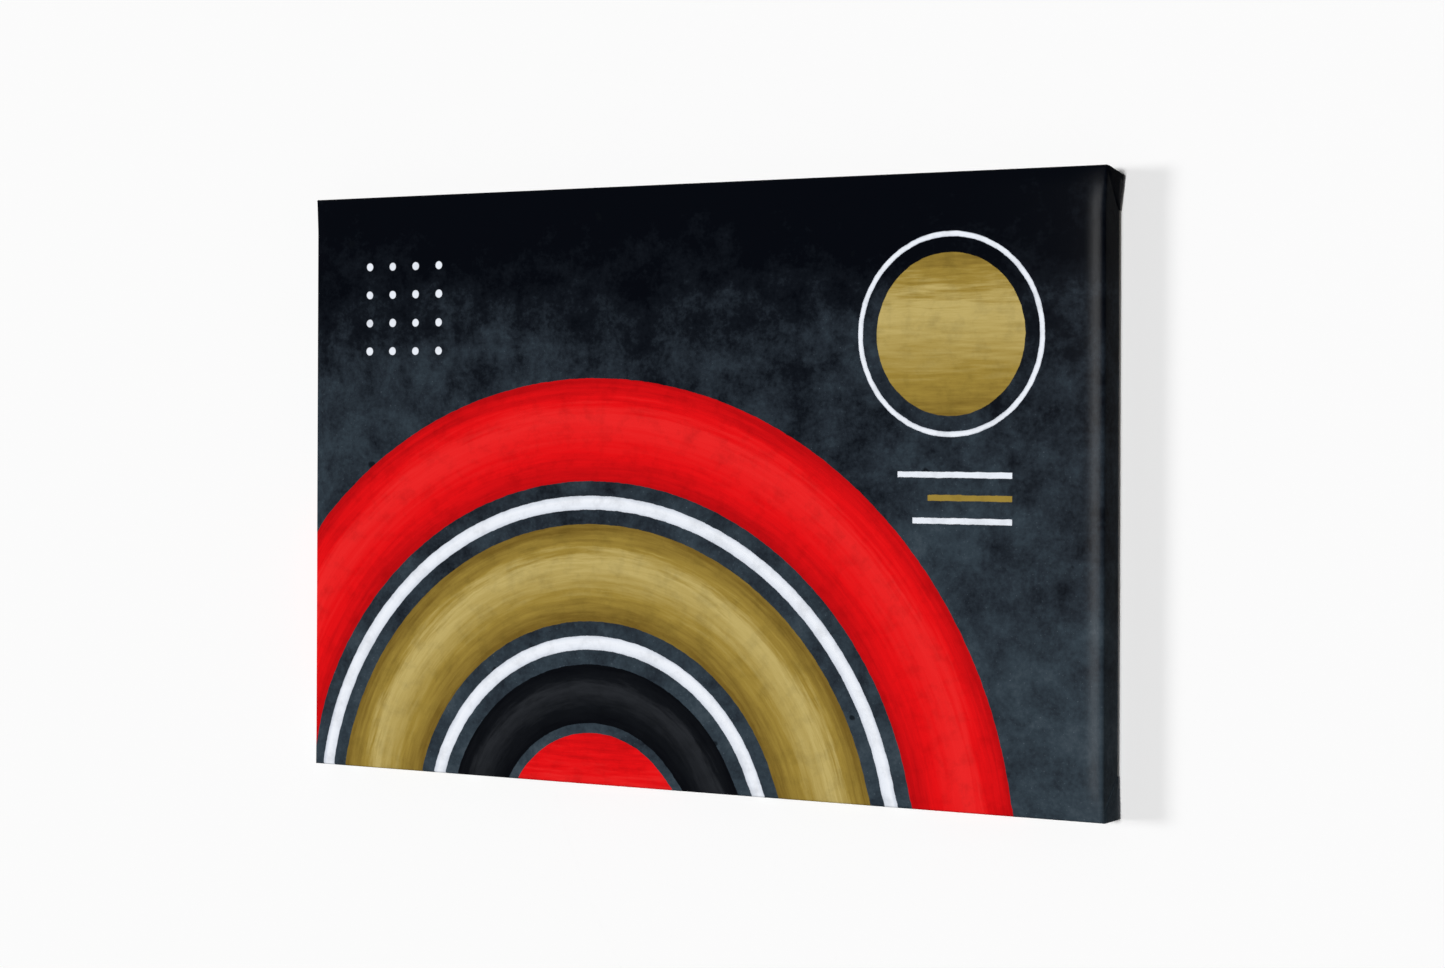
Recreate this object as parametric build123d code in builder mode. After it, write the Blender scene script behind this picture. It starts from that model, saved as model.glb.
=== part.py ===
import os

from build123d import *

os.makedirs("parts", exist_ok=True)

# A canvas print stretched over a keyed pine frame and hung on a wall by a toothed plate.
# X runs to the right along the print, Y from the print back to the wall, and Z up.
# The origin is the middle notch of the hanger, in the plane of the wall.

# The print and its canvas
print_width = 914.4
print_height = 609.6
frame_depth = 38.1  # from the print's face to the back of the turned-over canvas
canvas_thickness = 0.6
canvas_slack = 0.1  # between the canvas and the wood under it
turnover_width = 24.0  # strip of canvas on the back of the bars
fold_edge = 0.9  # thickness of the folded layers along their slanting edge
fold_start = 12.0  # how far the folded layers reach along the side, at the front of the corner
fold_tail = 40.0  # and at the back

# How far the folded layers stand out from the side at each corner, at the front and at the back
fold_bulges = [
    ("left", "top", 2.8, 4.0),
    ("right", "top", 3.4, 5.0),
    ("left", "bottom", 0.9, 2.0),
    ("right", "bottom", 0.9, 1.4),
]

# Stretcher bars
bar_width = 44.5
crown_width = 20.0  # rounded rim that carries the canvas, from its crest to the outer edge
crown_drop = 1.8  # how far the rim curves back at the outer edge
lip_radius = 2.2
bevel_drop = 6.0  # how far the front falls away behind the canvas
back_radius = 1.0
inner_radius = 2.0
relief_drop = 6.2  # how far the upper corners fall away at the back, under the folded canvas
relief_width = 24.0

# Corner joints: each bar end has a tongue and a slot side by side in its thickness
tongue_thickness = 7.0
tongue_setback = 1.2  # tongue ends stop short of the canvas
mitre_gap = 0.15
joint_fit = 0.15  # clearance on each side of tongues, keys and tenons

# Corner keys, one in the slot of each bar end
key_mouth = 9.0  # width of the key's gap at the inner edge of the bar
key_taper = 0.14
key_bite = 34.0  # length inside the bar
key_proud = 16.0  # length that stands out of the bar
key_corner = 2.0

# Upright brace
brace_width = 44.5
brace_thickness = 18.0
brace_radius = 2.0
tenon_length = 20.0
tenon_thickness = 9.0
tenon_shoulder = 5.0

# Hanger plate and its screws
hanger_length = 66.0
hanger_rise = 9.0  # from the notches to the plate's upper edge
hanger_thickness = 0.9
hanger_arch = 40.0  # length of the raised middle
hanger_ramp = 3.0
hanger_gap = 1.5  # room for a nail's head behind the raised middle
hanger_corner = 3.0
hanger_clearance = 2.0  # from the upper edge to the turned-over canvas
tooth_pitch = 4.4
tooth_depth = 3.0
tooth_pairs = 4  # notches to each side of the middle one
screw_inset = 6.0
screw_radius = 1.4
screw_length = 12.0
screw_head_radius = 2.9
screw_head_height = 1.4
screw_head_round = 0.85
screw_fit = 0.1

# Wall bumpers
bumper_radius = 6.5
bumper_height = 3.0
bumper_round = 1.0
bumper_inset = 70.0  # from the print's side to the bumper's middle

# Levels that follow from the sizes above
cloth = canvas_thickness + canvas_slack
back_y = -bumper_height
front_y = back_y - frame_depth
wood_back = back_y - cloth
wood_front = front_y + cloth
wood_mid = (wood_back + wood_front) / 2
layer_front = wood_mid - tongue_thickness
layer_back = wood_mid + tongue_thickness
wood_width = print_width - 2 * cloth
wood_height = print_height - 2 * cloth
inner_height = wood_height - 2 * bar_width
print_top = hanger_rise + hanger_clearance + turnover_width
print_mid = print_top - print_height / 2
screw_z = (hanger_rise - tooth_depth) / 2
screw_x = hanger_length / 2 - screw_inset
tab_back = wood_back + hanger_thickness
crown_radius = (crown_width**2 + crown_drop**2) / (2 * crown_drop)
relief_front = wood_front + crown_drop + lip_radius
beyond = 2.0  # cutters run past the wood by this much

# Sides of the frame: outward direction, direction along the bar, bar length, reach from the middle,
# whether the tongue is the front one of the two layers, and the sides past the bar's start and end
sides = {
    "top": ((0, 0, 1), (1, 0, 0), wood_width, wood_height / 2, True, ("left", "right")),
    "bottom": ((0, 0, -1), (-1, 0, 0), wood_width, wood_height / 2, True, ("right", "left")),
    "left": ((-1, 0, 0), (0, 0, 1), wood_height, wood_width / 2, False, ("bottom", "top")),
    "right": ((1, 0, 0), (0, 0, -1), wood_height, wood_width / 2, False, ("top", "bottom")),
}

# Upper corners that each side reaches, to the left (-1) or the right (1)
upper_corners = {"top": (-1, 1), "bottom": (), "left": (-1,), "right": (1,)}


# Plane square to a bar: from the front to the back, then outwards
def section_plane(outward, along, reach):
    return Plane(Vector(0, 0, print_mid) + Vector(*outward) * reach, x_dir=(0, 1, 0), z_dir=along)


# Outline of a bar with its crowned rim, grown by the thickness of a layer that lies on it.
# The front's inner corner and the inner edge are given, because only the wood falls away there.
def rim_outline(grow, front_corner, inner_edge):
    crest = (wood_front - grow, -crown_width)
    sweep = ((crown_radius + grow) ** 2 - (crown_width + grow) ** 2) ** 0.5
    edge = (wood_front + crown_radius - sweep, grow)
    with BuildLine() as outline:
        TangentArc(crest, edge, tangent=(0, 1))
        Polyline(
            edge,
            (wood_back + grow, grow),
            (wood_back + grow, -inner_edge),
            (front_corner, -inner_edge),
            crest,
        )
    make_face(outline.edges())


# Slanting face of an upper corner, which runs out at the front, raised by a layer that lies on it
def relief_plane(out, grow):
    depth = wood_back - relief_front
    corner = (out * wood_width / 2, relief_front, print_mid + wood_height / 2)
    slope = (out * relief_drop * depth, relief_drop * relief_width, relief_width * depth)
    return Plane(corner, z_dir=slope).offset(grow)


# Solid along one side, out to the surface of a layer that lies on the wood
def layer_solid(side, layer):
    outward, along, length, reach, *_ = sides[side]
    with BuildPart() as solid:
        with BuildSketch(section_plane(outward, along, reach)) as section:
            rim_outline(layer, wood_front - layer, bar_width + cloth - layer)
            fillet(section.vertices().group_by(Axis.Y)[-1].sort_by(Axis.X)[0], lip_radius + layer)
            fillet(section.vertices().group_by(Axis.Y)[-1].sort_by(Axis.X)[-1], back_radius + layer)
        extrude(amount=length / 2 + cloth, both=True)
        for out in upper_corners[side]:
            split(bisect_by=relief_plane(out, layer), keep=Keep.BOTTOM)
    return solid.part


# Plane across the frame at depth y: along the bar, then outwards, facing the print's side
def across(outward, along, reach, y):
    origin = Vector(0, y, print_mid) + Vector(*outward) * reach
    return Plane(origin, x_dir=along, z_dir=(0, -1, 0))


# Distance of a slot's bottom from the end of its bar, at a distance in from the outer edge
def slot_bottom(inward):
    return bar_width + key_mouth - (bar_width - inward) * key_taper


# Points given as distance from the bar's end and distance in from its outer edge
def end_points(end, length, *pairs):
    return [(end * (length / 2 - back), -inward) for back, inward in pairs]


# Stretcher bars, mitred at both ends, and the keys in their slots
for side, (outward, along, length, reach, tongue_first, ends) in sides.items():
    # The tongue is a little thinner than the slot that takes it, on both of its faces
    front_cut = layer_front + (joint_fit if tongue_first else 0)
    back_cut = layer_back - (0 if tongue_first else joint_fit)
    tongue_back = wood_mid if tongue_first else layer_back
    slot_back = layer_back if tongue_first else wood_mid + joint_fit
    slot_depth = tongue_thickness + joint_fit
    key_back = (layer_back if tongue_first else wood_mid) - joint_fit

    with BuildPart() as bar:
        with BuildSketch(section_plane(outward, along, reach)) as section:
            rim_outline(0, wood_front + bevel_drop, bar_width)
            fillet(section.vertices().group_by(Axis.Y)[-1].sort_by(Axis.X)[0], lip_radius)
            fillet(section.vertices().group_by(Axis.Y)[-1].sort_by(Axis.X)[-1], back_radius)
            fillet(section.vertices().group_by(Axis.Y)[0], inner_radius)
        extrude(amount=length / 2, both=True)

        mitre = mitre_gap / 2**0.5
        far = bar_width + beyond
        mitre_cut = [(mitre - beyond, -beyond), (mitre + far, far), (mitre - beyond, far)]
        tongue_cut = [(-beyond, -beyond), (tongue_setback, -beyond), (tongue_setback, far), (-beyond, far)]
        slot_start, slot_end = slot_bottom(-beyond), slot_bottom(far)
        slot_cut = [(-beyond, -beyond), (slot_start, -beyond), (slot_end, far), (-beyond, far)]
        cuts = [
            (mitre_cut, front_cut, front_cut - wood_front + beyond),
            (mitre_cut, wood_back + beyond, wood_back + beyond - back_cut),
            (tongue_cut, tongue_back, tongue_thickness),
            (slot_cut, slot_back, slot_depth),
        ]
        for outline, y, depth in cuts:
            with BuildSketch(across(outward, along, reach, y)):
                for end in (-1, 1):
                    Polygon(*end_points(end, length, *outline), align=None)
            extrude(amount=depth, mode=Mode.SUBTRACT)

        # Mortise for the brace in the long bars
        if tongue_first:
            mortise_back = wood_mid + tenon_thickness / 2 + joint_fit
            with BuildSketch(across(outward, along, reach, mortise_back)):
                with Locations((0, tenon_length / 2 - bar_width - beyond / 2)):
                    Rectangle(brace_width - 2 * tenon_shoulder + 2 * joint_fit, tenon_length + beyond)
            extrude(amount=tenon_thickness + 2 * joint_fit, mode=Mode.SUBTRACT)

        # Pilot holes for the hanger's screws
        if side == "top":
            with BuildSketch(Plane.XZ.offset(-wood_back)):
                with Locations((-screw_x, screw_z), (screw_x, screw_z)):
                    Circle(screw_radius + screw_fit)
            extrude(amount=screw_length - hanger_thickness + screw_fit, mode=Mode.SUBTRACT)

        # Relief for the folded canvas
        for out in upper_corners[side]:
            split(bisect_by=relief_plane(out, 0), keep=Keep.BOTTOM)

    bar.part.label = f"bar_{side}"
    export_step(bar.part, f"parts/bar_{side}.step")

    for end, neighbour in zip((-1, 1), ends):
        tip = bar_width - key_bite
        head = bar_width + key_proud
        wide = slot_bottom(head - key_corner) - joint_fit
        key_outline = [
            (bar_width + joint_fit, tip),
            (slot_bottom(tip) - joint_fit, tip),
            (wide, head - key_corner),
            (wide - key_corner, head),
            (bar_width + joint_fit + key_corner, head),
            (bar_width + joint_fit, head - key_corner),
        ]
        with BuildPart() as key:
            with BuildSketch(across(outward, along, reach, key_back)):
                Polygon(*end_points(end, length, *key_outline), align=None)
            extrude(amount=tongue_thickness - 2 * joint_fit)
        key.part.label = f"key_{side}_{neighbour}"
        export_step(key.part, f"parts/key_{side}_{neighbour}.step")

# Brace between the long bars, clear of the canvas, with a tenon at each end
with BuildPart() as brace:
    with BuildSketch(Plane.XY.offset(print_mid)):
        with Locations((0, wood_mid)):
            RectangleRounded(brace_width, brace_thickness, brace_radius)
    extrude(amount=inner_height / 2 - joint_fit, both=True)
    with BuildSketch(Plane.XY.offset(print_mid)):
        with Locations((0, wood_mid)):
            Rectangle(brace_width - 2 * tenon_shoulder, tenon_thickness)
    extrude(amount=inner_height / 2 + tenon_length - joint_fit, both=True)
brace.part.label = "brace"
export_step(brace.part, "parts/brace.step")

# Strips of canvas round the bars, mitred at the corners
canvas_strips = []
for side, (outward, along, length, reach, *_) in sides.items():
    outside = layer_solid(side, cloth)
    inside = layer_solid(side, canvas_slack)
    with BuildPart() as strip:
        add(outside)
        add(inside, mode=Mode.SUBTRACT)
        far = bar_width + beyond
        with BuildSketch(across(outward, along, reach, back_y + beyond)):
            for end in (-1, 1):
                corner = [(-far, -far), (far, far), (-far, far)]
                Polygon(*end_points(end, length, *corner), align=None)
        extrude(amount=frame_depth + 2 * beyond, mode=Mode.SUBTRACT)
    canvas_strips.append(strip.part)

# Spare cloth folded flat against the side at each corner, thickest and longest at the back
canvas_folds = []
for side, end, front_bulge, back_bulge in fold_bulges:
    out = 1 if side == "right" else -1
    up = 1 if end == "top" else -1
    root = out * (print_width - canvas_thickness) / 2
    edge = out * print_width / 2
    corner_z = print_mid + up * print_height / 2
    fold_back = wood_back - back_radius
    ends = ((relief_front, front_bulge, fold_start), (fold_back, back_bulge, fold_tail))
    with BuildPart() as fold:
        for y, bulge, reach in ends:
            with BuildSketch(Plane.XZ.offset(-y)):
                Polygon(
                    (root, corner_z),
                    (edge + out * bulge, corner_z),
                    (edge + out * fold_edge / 2, corner_z - up * reach),
                    (root, corner_z - up * reach),
                    align=None,
                )
        loft(ruled=True)
        if end == "top":
            split(bisect_by=relief_plane(out, cloth), keep=Keep.BOTTOM)
    canvas_folds.append(fold.part)

# Canvas: one cloth over the front, round the four sides and turned over on the back of the bars
with BuildPart() as canvas:
    with BuildSketch(Plane.XZ.offset(-front_y)):
        with Locations((0, print_mid)):
            Rectangle(wood_width - 2 * crown_width, wood_height - 2 * crown_width)
    extrude(amount=-canvas_thickness)
    add(canvas_strips)
    with BuildSketch(Plane.XZ.offset(-back_y)):
        with Locations((0, print_mid)):
            Rectangle(print_width - 2 * turnover_width, print_height - 2 * turnover_width)
    extrude(amount=cloth, both=True, mode=Mode.SUBTRACT)
    add(canvas_folds)
canvas.part.label = "canvas"
export_step(canvas.part, "parts/canvas.step")

# Hanger: flat tabs, a raised middle, and notches along the lower edge
with BuildPart() as hanger:
    tab_end = hanger_length / 2
    ramp_end = hanger_arch / 2 + hanger_ramp
    arch_end = hanger_arch / 2
    rise = [
        (-tab_end, wood_back),
        (-ramp_end, wood_back),
        (-arch_end, wood_back + hanger_gap),
        (arch_end, wood_back + hanger_gap),
        (ramp_end, wood_back),
        (tab_end, wood_back),
    ]
    with BuildSketch(Plane.XY.offset(-tooth_depth)):
        Polygon(*rise, *[(x, y + hanger_thickness) for x, y in reversed(rise)], align=None)
    extrude(amount=hanger_rise + tooth_depth)
    fillet(hanger.edges().filter_by(Axis.Y), hanger_corner)
    with BuildSketch(Plane.XZ):
        for step in range(-tooth_pairs, tooth_pairs + 1):
            middle = step * tooth_pitch
            Polygon(
                (middle - tooth_pitch / 2, -tooth_depth),
                (middle, 0),
                (middle + tooth_pitch / 2, -tooth_depth),
                align=None,
            )
    extrude(amount=-wood_back, both=True, mode=Mode.SUBTRACT)
    with BuildSketch(Plane.XZ.offset(-tab_back)):
        with Locations((-screw_x, screw_z), (screw_x, screw_z)):
            Circle(screw_radius + screw_fit)
    extrude(amount=hanger_thickness, mode=Mode.SUBTRACT)
hanger.part.label = "hanger"
export_step(hanger.part, "parts/hanger.step")

# Two screws through the hanger's tabs
for side, x in (("left", -screw_x), ("right", screw_x)):
    with BuildPart() as screw:
        with BuildSketch(Plane.XZ.offset(-tab_back)):
            with Locations((x, screw_z)):
                Circle(screw_radius)
        extrude(amount=screw_length)
        with BuildSketch(Plane.XZ.offset(-tab_back)):
            with Locations((x, screw_z)):
                Circle(screw_head_radius)
        extrude(amount=-screw_head_height)
        fillet(screw.faces().sort_by(Axis.Y)[-1].edges(), screw_head_round)
    screw.part.label = f"screw_{side}"
    export_step(screw.part, f"parts/screw_{side}.step")

# Bumpers on the turned-over canvas near the lower corners, which stand on the wall
bumper_x = print_width / 2 - bumper_inset
bumper_z = print_mid - (print_height - turnover_width) / 2
for side, x in (("left", -bumper_x), ("right", bumper_x)):
    with BuildPart() as bumper:
        with BuildSketch(Plane.XZ.offset(-back_y)):
            with Locations((x, bumper_z)):
                Circle(bumper_radius)
        extrude(amount=-bumper_height)
        fillet(bumper.faces().sort_by(Axis.Y)[-1].edges(), bumper_round)
    bumper.part.label = f"bumper_{side}"
    export_step(bumper.part, f"parts/bumper_{side}.step")
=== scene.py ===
import math
import random

import bmesh
import bpy
from mathutils import Matrix, Vector, noise


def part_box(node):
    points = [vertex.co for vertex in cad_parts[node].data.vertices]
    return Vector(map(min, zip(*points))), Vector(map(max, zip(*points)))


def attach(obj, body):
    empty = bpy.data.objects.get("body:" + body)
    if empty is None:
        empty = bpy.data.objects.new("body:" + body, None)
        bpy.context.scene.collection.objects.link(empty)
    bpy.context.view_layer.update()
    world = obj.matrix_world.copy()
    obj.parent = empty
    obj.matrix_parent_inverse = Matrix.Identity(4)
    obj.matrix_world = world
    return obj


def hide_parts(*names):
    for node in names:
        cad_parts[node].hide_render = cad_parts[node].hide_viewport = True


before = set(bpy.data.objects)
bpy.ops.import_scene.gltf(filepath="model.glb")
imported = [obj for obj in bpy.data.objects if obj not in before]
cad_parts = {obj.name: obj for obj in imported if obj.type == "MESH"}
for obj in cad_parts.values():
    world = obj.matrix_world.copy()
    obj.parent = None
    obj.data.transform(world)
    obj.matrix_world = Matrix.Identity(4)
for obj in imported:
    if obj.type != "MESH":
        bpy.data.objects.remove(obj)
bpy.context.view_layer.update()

root = "root"
random.seed(24)
print("frame loaded:", len(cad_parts), "nodes")

canvasLow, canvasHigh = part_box("canvas")
frontY, backY = canvasLow.y, canvasHigh.y
topZ, bottomZ = canvasHigh.z, canvasLow.z
midZ = (topZ + bottomZ) / 2


class NodeBench:  # short calls for wiring one material
    def __init__(self, name):
        self.material = bpy.data.materials.new(name)
        self.material.use_nodes = True
        self.tree = self.material.node_tree
        self.tree.nodes.clear()

    def add(self, kind, **settings):
        node = self.tree.nodes.new(kind)
        for key, value in settings.items():
            setattr(node, key, value)
        return node

    def plug(self, socket, value):
        if isinstance(value, bpy.types.NodeSocket):
            self.tree.links.new(value, socket)
        elif value is not None:
            socket.default_value = value

    def math(self, operation, first, second=None, third=None, clamp=False):
        node = self.add("ShaderNodeMath", operation=operation, use_clamp=clamp)
        for socket, value in zip(node.inputs, (first, second, third)):
            self.plug(socket, value)
        return node.outputs[0]

    def below(self, value, limit, soft=0.0006):  # 1 where value is under limit, with a soft step
        return self.math("MULTIPLY_ADD", value, -1 / soft, limit / soft + 0.5, clamp=True)

    def mix(self, factor, first, second, blend="MIX"):
        node = self.add("ShaderNodeMix", data_type="RGBA", blend_type=blend)
        self.plug(node.inputs[0], factor)
        self.plug(node.inputs[6], first)
        self.plug(node.inputs[7], second)
        return node.outputs[2]

    def noise(self, vector, scale, detail=3.0, roughness=0.55, distortion=0.0):
        node = self.add("ShaderNodeTexNoise")
        self.plug(node.inputs["Vector"], vector)
        node.inputs["Scale"].default_value = scale
        node.inputs["Detail"].default_value = detail
        node.inputs["Roughness"].default_value = roughness
        node.inputs["Distortion"].default_value = distortion
        return node.outputs[0]

    def ramp(self, factor, stops, interpolation="LINEAR"):
        node = self.add("ShaderNodeValToRGB")
        node.color_ramp.interpolation = interpolation
        while len(node.color_ramp.elements) < len(stops):
            node.color_ramp.elements.new(0.5)
        for element, (place, colour) in zip(node.color_ramp.elements, stops):
            element.position = place
            element.color = (*colour, 1)
        self.plug(node.inputs[0], factor)
        return node.outputs[0]

    def mapping(self, vector, shift=(0, 0, 0), scale=(1, 1, 1)):
        node = self.add("ShaderNodeMapping")
        self.plug(node.inputs["Vector"], vector)
        node.inputs["Location"].default_value = shift
        node.inputs["Scale"].default_value = scale
        return node.outputs[0]

    def combine(self, first, second):
        node = self.add("ShaderNodeCombineXYZ")
        self.plug(node.inputs[0], first)
        self.plug(node.inputs[1], second)
        return node.outputs[0]

    def split(self, vector):
        node = self.add("ShaderNodeSeparateXYZ")
        self.plug(node.inputs[0], vector)
        return node.outputs

    def length(self, vector):
        node = self.add("ShaderNodeVectorMath", operation="LENGTH")
        self.plug(node.inputs[0], vector)
        return node.outputs["Value"]

    def place(self):  # object coordinates, whole and split
        vector = self.add("ShaderNodeTexCoord").outputs["Object"]
        return vector, *self.split(vector)

    def bump(self, height, distance, strength=1.0):
        node = self.add("ShaderNodeBump")
        node.inputs["Strength"].default_value = strength
        node.inputs["Distance"].default_value = distance
        self.plug(node.inputs["Height"], height)
        return node.outputs[0]

    def finish(self, colour, roughness, normal=None, specular=0.5, metal=0.0):
        shader = self.add("ShaderNodeBsdfPrincipled")
        self.plug(shader.inputs["Base Color"], colour)
        self.plug(shader.inputs["Roughness"], roughness)
        self.plug(shader.inputs["Normal"], normal)
        shader.inputs["Specular IOR Level"].default_value = specular
        shader.inputs["Metallic"].default_value = metal
        output = self.add("ShaderNodeOutputMaterial")
        self.plug(output.inputs[0], shader.outputs[0])
        return self.material


def once(items):  # each item once, in a fixed order
    return list(dict.fromkeys(items))


def finishPiece(name, bm, materials, sharpDegrees=38):
    bm.normal_update()
    mesh = bpy.data.meshes.new(name)
    bm.to_mesh(mesh)
    bm.free()
    for material in materials:
        mesh.materials.append(material)
    mesh.shade_smooth()
    mesh.set_sharp_from_angle(angle=math.radians(sharpDegrees))
    piece = bpy.data.objects.new(name, mesh)
    bpy.context.scene.collection.objects.link(piece)
    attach(piece, root)
    print(f"{name}: {len(mesh.polygons)} faces")
    return piece


# canvas: one cloth over the front, round the sides and turned over on the back

canvasSet = dict(
    width=0.9144,
    height=0.6096,
    crest=0.0207,  # crown's crest, in from the outer edge
    crownRadius=0.1127,
    lip=0.0029,
    backRound=0.0017,
    turnover=0.024,
    thickness=0.0006,
    slack=0.0001,  # between the cloth and the wood
    columns=60,
    rows=40,
    sag=0.00035,  # cloth between the bars, behind the crest
    sagFade=0.06,  # from the crest to the full sag
    sagShare=(0.55, 0.45),  # even part of the sag, and the part that ripples
    ripple=dict(sag=5, side=(30, 40), edge=38),  # waves of the cloth's unevenness in a metre
    stapleStep=0.046,
    stapleEnd=0.05,  # from a bar's end to its last staple
    pucker=0.011,  # reach of a staple's pull
    sideGive=(0.00012, 0.00022),  # bulge of the sides, at a staple and what is added between two
    edgeStart=0.012,  # where the turned-over strip begins to lift and wander
    edgeLift=0.0005,
    edgeWander=0.0011,
    cornerCalm=(0.03, 0.04),  # no give this near a corner, and the fade after it
    cornerBevel=0.0012,
    faceBand=0.0012,  # depth that counts as the front when the cloth is laid flat
    printedBack=0.0065,  # ink that runs on round the back edge
)
halfWidth = canvasSet["width"] / 2
halfHeight = canvasSet["height"] / 2
lipReach = canvasSet["crownRadius"] - canvasSet["lip"]
crownLip = math.asin((canvasSet["crest"] - canvasSet["lip"]) / lipReach)
lipY = frontY + canvasSet["crownRadius"] - lipReach * math.cos(crownLip)


def rimProfile():  # distance in from the outer edge, and depth, from the crest to the cut edge
    crest, bend, lip = canvasSet["crest"], canvasSet["crownRadius"], canvasSet["lip"]
    roll, turnover = canvasSet["backRound"], canvasSet["turnover"]
    points = []
    for step in range(1, 9):
        tilt = crownLip * step / 8
        points.append((crest - bend * math.sin(tilt), frontY + bend * (1 - math.cos(tilt))))
    for step in range(1, 8):
        tilt = crownLip + (math.pi / 2 - crownLip) * step / 7
        points.append((lip - lip * math.sin(tilt), lipY - lip * math.cos(tilt)))
    for step in range(1, 9):
        points.append((0.0, lipY + (backY - roll - lipY) * step / 8))
    for step in range(1, 5):
        tilt = math.pi / 2 * (1 + step / 4)
        points.append((roll - roll * math.sin(tilt), backY - roll - roll * math.cos(tilt)))
    for step in range(1, 7):
        points.append((roll + (turnover - roll) * step / 6, backY))
    return points


def unfold(x, y, z, alongX):  # place on the flat cloth, from its middle
    inX, inZ = max(halfWidth - abs(x), 0), max(halfHeight - abs(z - midZ), 0)
    inset = inX if alongX else inZ
    if y < frontY + canvasSet["faceBand"] and inset > canvasSet["crest"]:
        return x, z - midZ
    front = y < (frontY + backY) / 2
    run = (0 if front else inset) + (y - frontY) - (inset if front else 0)
    if alongX:
        return math.copysign(halfWidth + run, x), z - midZ
    return x, math.copysign(halfHeight + run, z - midZ)


def unfoldFaces(bm, faces):
    layer = bm.loops.layers.uv.get("cloth") or bm.loops.layers.uv.new("cloth")
    for face in faces:
        middle = face.calc_center_median()
        alongX = halfWidth - abs(middle.x) < halfHeight - abs(middle.z - midZ)
        for loop in face.loops:
            loop[layer].uv = unfold(*loop.vert.co, alongX)


def stapleSpots():  # along each bar: distance from the bar's middle, for the cloth and for the staples
    spots = []
    for half, flat in ((halfWidth, True), (halfHeight, False)):
        reach = half - canvasSet["stapleEnd"]
        count = int(reach / canvasSet["stapleStep"])
        for step in range(-count, count + 1):
            spots.append((flat, step * reach / count))
    return spots


staplePlaces = stapleSpots()


def pull(flat, along):  # 1 at a staple, 0 half-way between two
    near = min(abs(along - place) for bar, place in staplePlaces if bar == flat)
    return math.exp(-((near / canvasSet["pucker"]) ** 2))


def makeWrap(bm):
    crest = canvasSet["crest"]
    spread = Matrix.Diagonal((2 * (halfWidth - crest), 2 * (halfHeight - crest), 1, 1))
    stand = Matrix.Translation((0, frontY, midZ)) @ Matrix.Rotation(math.pi / 2, 4, "X") @ spread
    bmesh.ops.create_grid(
        bm, x_segments=canvasSet["columns"], y_segments=canvasSet["rows"], size=0.5, matrix=stand
    )
    last = crest
    for inset, depth in rimProfile():
        border = [edge for edge in bm.edges if edge.is_boundary]
        made = bmesh.ops.extrude_edge_only(bm, edges=border)["geom"]
        for vert in (item for item in made if isinstance(item, bmesh.types.BMVert)):
            if halfWidth - abs(vert.co.x) < last + 1e-6:
                vert.co.x = math.copysign(halfWidth - inset, vert.co.x)
            if halfHeight - abs(vert.co.z - midZ) < last + 1e-6:
                vert.co.z = midZ + math.copysign(halfHeight - inset, vert.co.z - midZ)
            vert.co.y = depth
        last = inset
    bmesh.ops.recalc_face_normals(bm, faces=bm.faces)


def dressCloth(vert):  # small give of real cloth: sag between the bars, puckers at the staples
    x, y, z = vert.co.x, vert.co.y, vert.co.z - midZ
    inX, inZ = halfWidth - abs(x), halfHeight - abs(z)
    inset = min(inX, inZ)
    ripples = canvasSet["ripple"]
    if y < frontY + 0.0001 and inset > canvasSet["crest"] + 0.001:
        fade = min((inset - canvasSet["crest"]) / canvasSet["sagFade"], 1)
        waves = ripples["sag"]
        ripple = 0.5 + 0.5 * noise.noise(Vector((x * waves, z * waves, 2.0)))
        even, uneven = canvasSet["sagShare"]
        vert.co.y += canvasSet["sag"] * fade * (even + uneven * ripple)
        return
    if y < lipY:
        return
    flat = inZ < inX
    along = x if flat else z
    calm, fade = canvasSet["cornerCalm"]
    give = min(max((halfWidth if flat else halfHeight) - abs(along) - calm, 0) / fade, 1)
    slack = 1 - pull(flat, along)
    if y < backY - 0.0005:  # side
        depth = (y - lipY) / (backY - lipY)
        least, more = canvasSet["sideGive"]
        out = (least + more * slack) * depth * (1 - depth) * 4 * give
        waves, deepWaves = ripples["side"]
        out *= 0.6 + 0.8 * noise.noise(Vector((along * waves, 4.0, y * deepWaves)))
        if flat:
            vert.co.z += math.copysign(out, z)
        else:
            vert.co.x += math.copysign(out, x)
        return
    start = canvasSet["edgeStart"]
    edge = max(inset - start, 0) / start  # back: the cut edge lifts and wanders between staples
    vert.co.y += canvasSet["edgeLift"] * slack * edge * give
    wander = canvasSet["edgeWander"] * edge * give
    wander *= noise.noise(Vector((along * ripples["edge"], 7.0, 1.0)))
    if flat:
        vert.co.z += math.copysign(wander, z)
    else:
        vert.co.x += math.copysign(wander, x)


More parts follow.
